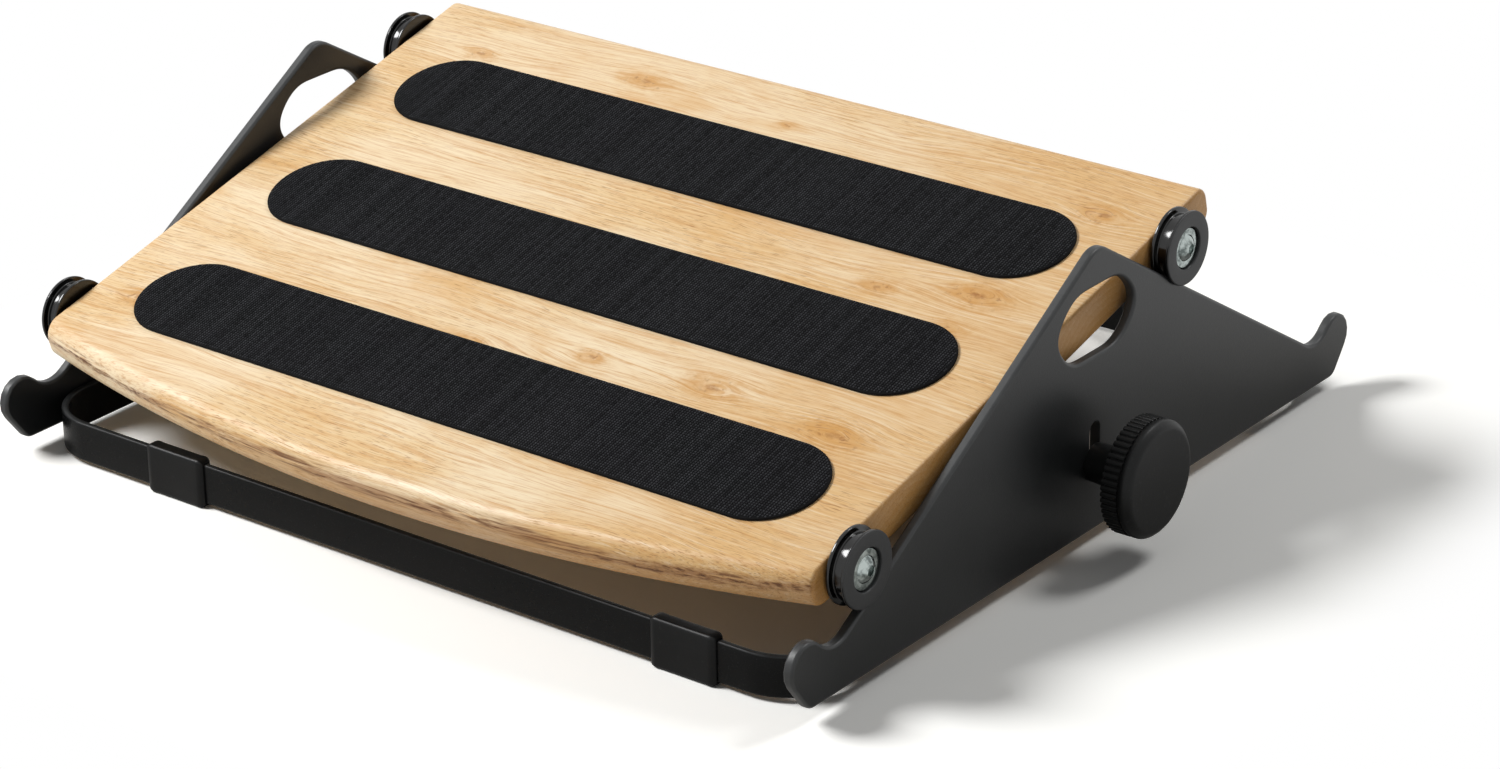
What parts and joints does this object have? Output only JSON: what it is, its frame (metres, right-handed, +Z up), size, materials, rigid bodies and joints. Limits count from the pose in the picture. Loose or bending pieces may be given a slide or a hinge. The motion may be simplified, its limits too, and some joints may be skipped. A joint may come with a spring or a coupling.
{
  "type": "tilting under desk footrest",
  "caption": "Under-desk footrest: a wooden board with ribbed rubber grips rocks on grooved rollers along the sloping edges of inverted-V steel side plates.",
  "frame": {"origin": "on the floor under the middle of the whole object's box, knob included", "axes": "+X runs along the board towards the knob, +Y towards the rear (the high edge in the rest pose), +Z up"},
  "size_m": [0.4592, 0.4094, 0.1303],
  "materials": {
    "board_wood": "satin lacquered pale hardwood staves",
    "pad_rubber": "matte, finely ribbed",
    "plate_coat": "fine-texture black powder coat",
    "bar_coat": "satin black powder coat",
    "sleeve_rubber": "satin",
    "roller_plastic": "gloss black rim, matte face",
    "bush_plastic": "plain bearing plastic",
    "zinc_plate": "bright zinc plate",
    "brass": "machined",
    "knob_plastic": "matte moulded"
  },
  "bodies": {
    "frame": {"side_plate_left": "plate_coat", "side_plate_right": "plate_coat", "base_bar_front": "bar_coat", "base_bar_rear": "bar_coat", "foot_sleeve_front_left": "sleeve_rubber", "foot_sleeve_front_right": "sleeve_rubber", "foot_sleeve_rear_left": "sleeve_rubber", "foot_sleeve_rear_right": "sleeve_rubber", "clamp_washer_left": "zinc_plate", "clamp_washer_right": "zinc_plate"},
    "tension_rod": {"tension_rod": "zinc_plate"},
    "platform": {"platform_board": "board_wood", "grip_pad_front": "pad_rubber", "grip_pad_middle": "pad_rubber", "grip_pad_rear": "pad_rubber", "threaded_insert_front_left": "brass", "threaded_insert_front_right": "brass", "threaded_insert_rear_left": "brass", "threaded_insert_rear_right": "brass", "spacer_washer_front_left": "zinc_plate", "spacer_washer_front_right": "zinc_plate", "spacer_washer_rear_left": "zinc_plate", "spacer_washer_rear_right": "zinc_plate", "roller_bush_front_left": "bush_plastic", "roller_bush_front_right": "bush_plastic", "roller_bush_rear_left": "bush_plastic", "roller_bush_rear_right": "bush_plastic", "roller_washer_front_left": "zinc_plate", "roller_washer_front_right": "zinc_plate", "roller_washer_rear_left": "zinc_plate", "roller_washer_rear_right": "zinc_plate", "roller_screw_front_left": "zinc_plate", "roller_screw_front_right": "zinc_plate", "roller_screw_rear_left": "zinc_plate", "roller_screw_rear_right": "zinc_plate"},
    "roller_front_left": {"roller_front_left": "roller_plastic"},
    "roller_front_right": {"roller_front_right": "roller_plastic"},
    "roller_rear_left": {"roller_rear_left": "roller_plastic"},
    "roller_rear_right": {"roller_rear_right": "roller_plastic"},
    "knob": {"knob": "knob_plastic", "knob_insert": "brass"}
  },
  "joints": [
    {"name": "rod_turn", "type": "hinge", "parent": "frame", "child": "tension_rod", "pos_m": [-0.0134, 0.00039, 0.0372], "axis": [1, 0, 0], "range_deg": [-10.95, 62.16]},
    {"name": "platform_rock", "type": "hinge", "parent": "tension_rod", "child": "platform", "pos_m": [-0.0134, -0.02299, -0.01193], "axis": [1, 0, 0], "range_deg": [-96.96, 16.95]},
    {"name": "roller_front_left_spin", "type": "hinge", "parent": "platform", "child": "roller_front_left", "pos_m": [-0.222, -0.15827, 0.05201], "axis": [1, 0, 0], "continuous": true},
    {"name": "roller_front_right_spin", "type": "hinge", "parent": "platform", "child": "roller_front_right", "pos_m": [0.1952, -0.15827, 0.05201], "axis": [1, 0, 0], "continuous": true},
    {"name": "roller_rear_left_spin", "type": "hinge", "parent": "platform", "child": "roller_rear_left", "pos_m": [-0.222, 0.06499, 0.10933], "axis": [1, 0, 0], "continuous": true},
    {"name": "roller_rear_right_spin", "type": "hinge", "parent": "platform", "child": "roller_rear_right", "pos_m": [0.1952, 0.06499, 0.10933], "axis": [1, 0, 0], "continuous": true},
    {"name": "knob_turn", "type": "hinge", "parent": "frame", "child": "knob", "pos_m": [0.2152, 0.00039, 0.0372], "axis": [1, 0, 0], "continuous": true}
  ],
  "couplings": [
    {"joint": "rod_turn", "follows": "platform_rock", "ratio": -0.64007}
  ]
}
